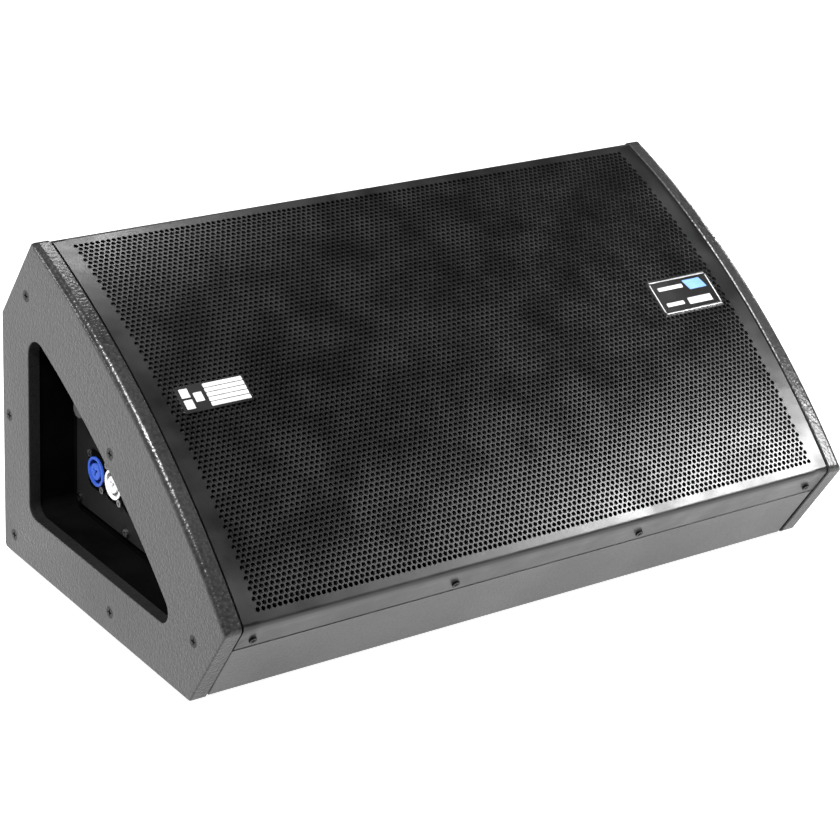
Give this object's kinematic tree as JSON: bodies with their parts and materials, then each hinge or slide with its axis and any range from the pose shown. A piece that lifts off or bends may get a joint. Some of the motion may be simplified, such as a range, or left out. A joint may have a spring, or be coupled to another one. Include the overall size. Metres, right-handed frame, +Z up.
{
  "type": "stage monitor wedge",
  "caption": "Floor monitor loudspeaker with a bowed steel grille, thick side plates with triangular recesses, a coaxial driver and a recessed connector panel.",
  "frame": {"origin": "centre of the footprint on the floor, under the middle of the cabinet", "axes": "+X to the cabinet's right end seen from the grille side, -Y towards the listener, +Z up"},
  "size_m": [0.586, 0.3365, 0.2767],
  "materials": {
    "plate_paint": "textured black structure paint on plywood, hard and slightly glossy",
    "cabinet_paint": "textured black structure paint on plywood",
    "baffle_paint": "thin matt black paint over plywood",
    "plywood": "bare birch plywood",
    "grille_paint": "satin black powder coat on perforated steel",
    "acoustic_foam": "thin black open-cell foam",
    "badge_metal": "brushed badge plate with dark enamel",
    "black_screw": "black zinc screw",
    "zinc_screw": "bright zinc screw",
    "foot_rubber": "moulded black rubber",
    "cast_frame": "black coated cast aluminium",
    "plated_steel": "zinc plated steel",
    "ferrite": "ground dark ferrite",
    "cone_paper": "pressed paper pulp, coated",
    "copper_coil": "enamelled copper on a former",
    "surround_cloth": "doped cloth",
    "spider_cloth": "resin-stiffened woven cloth",
    "black_plastic": "grained black moulding",
    "cable_jacket": "soft black cable jacket",
    "damping_wadding": "grey fibre wadding",
    "panel_paint": "fine black powder coat on aluminium",
    "blue_plastic": "blue moulding",
    "white_plastic": "light grey moulding",
    "gold_contact": "plated contact",
    "knob_plastic": "soft-touch black moulding",
    "grey_plastic": "grey moulding",
    "green_lens": "tinted lens",
    "circuit_board": "green solder mask",
    "brass_post": "turned brass",
    "sink_aluminium": "extruded aluminium",
    "capacitor_sleeve": "shrunk sleeve",
    "cover_steel": "galvanised sheet steel"
  },
  "bodies": {
    "cabinet": {"left_side_plate": "plate_paint", "right_side_plate": "plate_paint", "back_panel": "cabinet_paint", "top_panel": "cabinet_paint", "bottom_panel": "cabinet_paint", "front_lower_panel": "cabinet_paint", "baffle": "baffle_paint", "side_battens": "plywood", "side_plate_screws": "black_screw", "rubber_feet": "foot_rubber", "foot_screws": "zinc_screw", "grille": "grille_paint", "grille_foam": "acoustic_foam", "grille_screws": "black_screw", "left_badge": "badge_metal", "right_badge": "badge_metal", "port_tubes": "black_plastic", "woofer_basket": "cast_frame", "woofer_top_plate": "plated_steel", "woofer_magnet": "ferrite", "woofer_back_plate": "plated_steel", "woofer_surround": "surround_cloth", "woofer_spider": "spider_cloth", "woofer_gasket": "foot_rubber", "woofer_screws": "black_screw", "horn_flare": "black_plastic", "compression_driver": "cast_frame", "woofer_terminals": "gold_contact", "speaker_cable": "cable_jacket", "damping_foam": "damping_wadding", "connector_pocket": "black_plastic", "handle_pocket": "black_plastic", "pocket_screws": "zinc_screw", "amp_panel": "panel_paint", "panel_screws": "zinc_screw", "jack_flanges": "black_plastic", "jack_screws": "zinc_screw", "power_in_socket": "blue_plastic", "power_link_socket": "white_plastic", "signal_in_socket": "black_plastic", "signal_link_socket": "black_plastic", "jack_contacts": "gold_contact", "level_control": "grey_plastic", "preset_switch": "grey_plastic", "status_lights": "green_lens", "amp_board": "circuit_board", "board_standoffs": "brass_post", "standoff_screws": "zinc_screw", "heatsink": "sink_aluminium", "capacitors": "capacitor_sleeve", "inductors": "ferrite", "amp_cover": "cover_steel", "cable_grommet": "foot_rubber"},
    "cone": {"woofer_cone": "cone_paper", "voice_coil": "copper_coil"},
    "knob": {"level_knob": "knob_plastic"},
    "button": {"preset_button": "grey_plastic"},
    "tab": {"release_tab": "plated_steel"}
  },
  "joints": [
    {"name": "cone_stroke", "type": "slide", "parent": "cabinet", "child": "cone", "axis": [0, -0.5679, 0.8231], "range_m": [-0.004, 0.004], "stiffness_N_per_m": 3000, "deforming": ["woofer_surround", "woofer_spider"]},
    {"name": "level_turn", "type": "hinge", "parent": "cabinet", "child": "knob", "pos_m": [-0.2555, 0.09275, 0.146], "axis": [-1, 0, 0], "range_deg": [-150, 150]},
    {"name": "preset_press", "type": "slide", "parent": "cabinet", "child": "button", "axis": [1, 0, 0], "range_m": [0, 0.0015], "stiffness_N_per_m": 600},
    {"name": "tab_press", "type": "slide", "parent": "cabinet", "child": "tab", "axis": [1, 0, 0], "range_m": [0, 0.002], "stiffness_N_per_m": 600}
  ]
}
